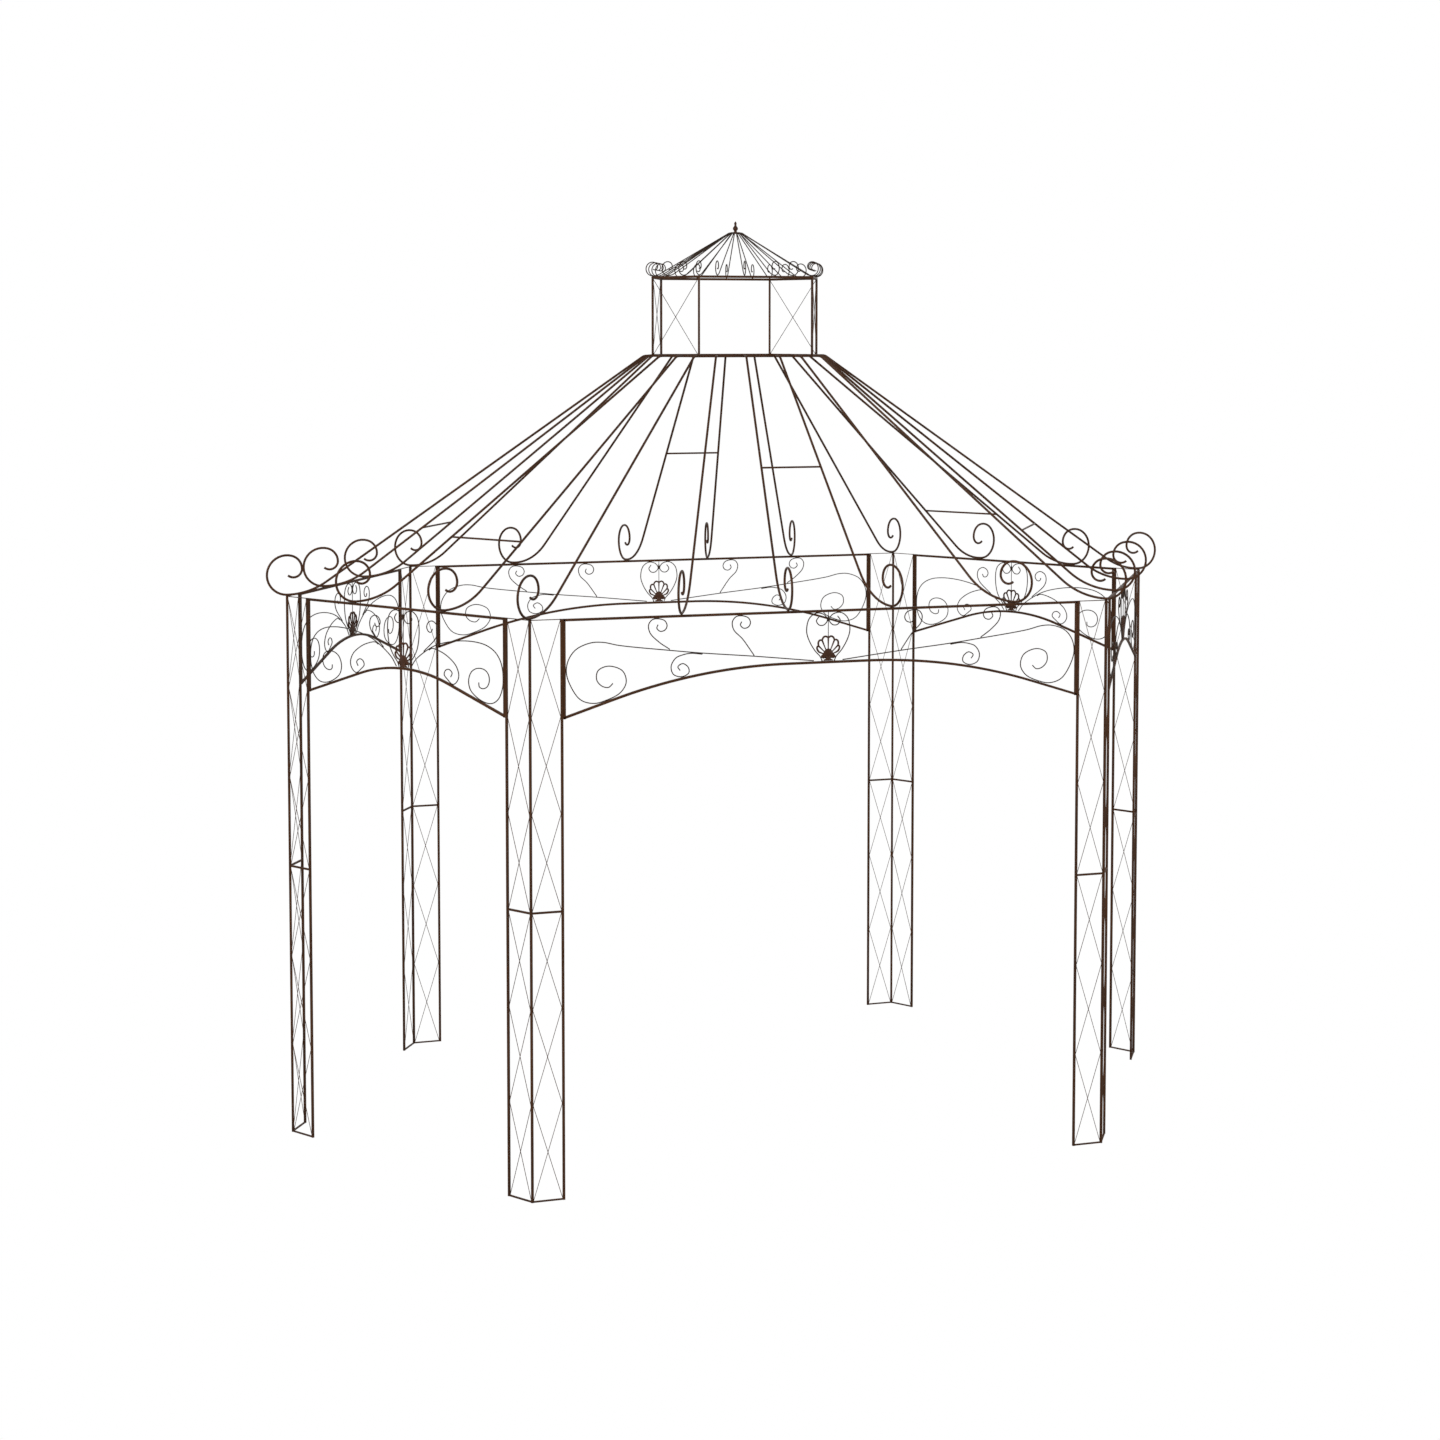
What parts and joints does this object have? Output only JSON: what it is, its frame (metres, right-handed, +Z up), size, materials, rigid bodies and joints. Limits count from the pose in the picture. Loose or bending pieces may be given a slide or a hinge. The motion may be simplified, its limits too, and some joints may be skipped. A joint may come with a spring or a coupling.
{
  "type": "wrought iron garden gazebo",
  "caption": "Open six-sided wrought iron garden gazebo with arched scrollwork friezes, shell ornaments, curled roof rods and a small cupola.",
  "frame": {"origin": "on the ground, in the middle of the plan", "axes": "+X along the front side from left to right, towards the right corner column; +Y from front to back; +Z up"},
  "size_m": [4.1778, 2.5846, 3.9185],
  "materials": {
    "frame_iron": "satin dark brown paint on iron tube, rail and rod",
    "scroll_wire": "satin dark brown paint on iron wire",
    "ornament_iron": "satin dark brown paint on cast iron ornaments"
  },
  "bodies": {
    "root": {"column_front_left": "frame_iron", "column_front_right": "frame_iron", "column_right": "frame_iron", "column_back_right": "frame_iron", "column_back_left": "frame_iron", "column_left": "frame_iron", "frieze_front": "frame_iron", "frieze_right_front": "frame_iron", "frieze_right_back": "frame_iron", "frieze_back": "frame_iron", "frieze_left_back": "frame_iron", "frieze_left_front": "frame_iron", "scrolls_front": "scroll_wire", "scrolls_right_front": "scroll_wire", "scrolls_right_back": "scroll_wire", "scrolls_back": "scroll_wire", "scrolls_left_back": "scroll_wire", "scrolls_left_front": "scroll_wire", "shell_front": "ornament_iron", "shell_right_front": "ornament_iron", "shell_right_back": "ornament_iron", "shell_back": "ornament_iron", "shell_left_back": "ornament_iron", "shell_left_front": "ornament_iron", "hip_rod_front_left": "frame_iron", "hip_rod_front_right": "frame_iron", "hip_rod_right": "frame_iron", "hip_rod_back_right": "frame_iron", "hip_rod_back_left": "frame_iron", "hip_rod_left": "frame_iron", "roof_rods_front": "frame_iron", "roof_rods_right_front": "frame_iron", "roof_rods_right_back": "frame_iron", "roof_rods_back": "frame_iron", "roof_rods_left_back": "frame_iron", "roof_rods_left_front": "frame_iron", "cupola_base_ring": "frame_iron", "cupola_top_ring": "frame_iron", "cupola_posts": "frame_iron", "cupola_braces": "scroll_wire", "cupola_spokes": "scroll_wire", "apex_plate": "frame_iron", "finial": "ornament_iron"}
  },
  "joints": []
}
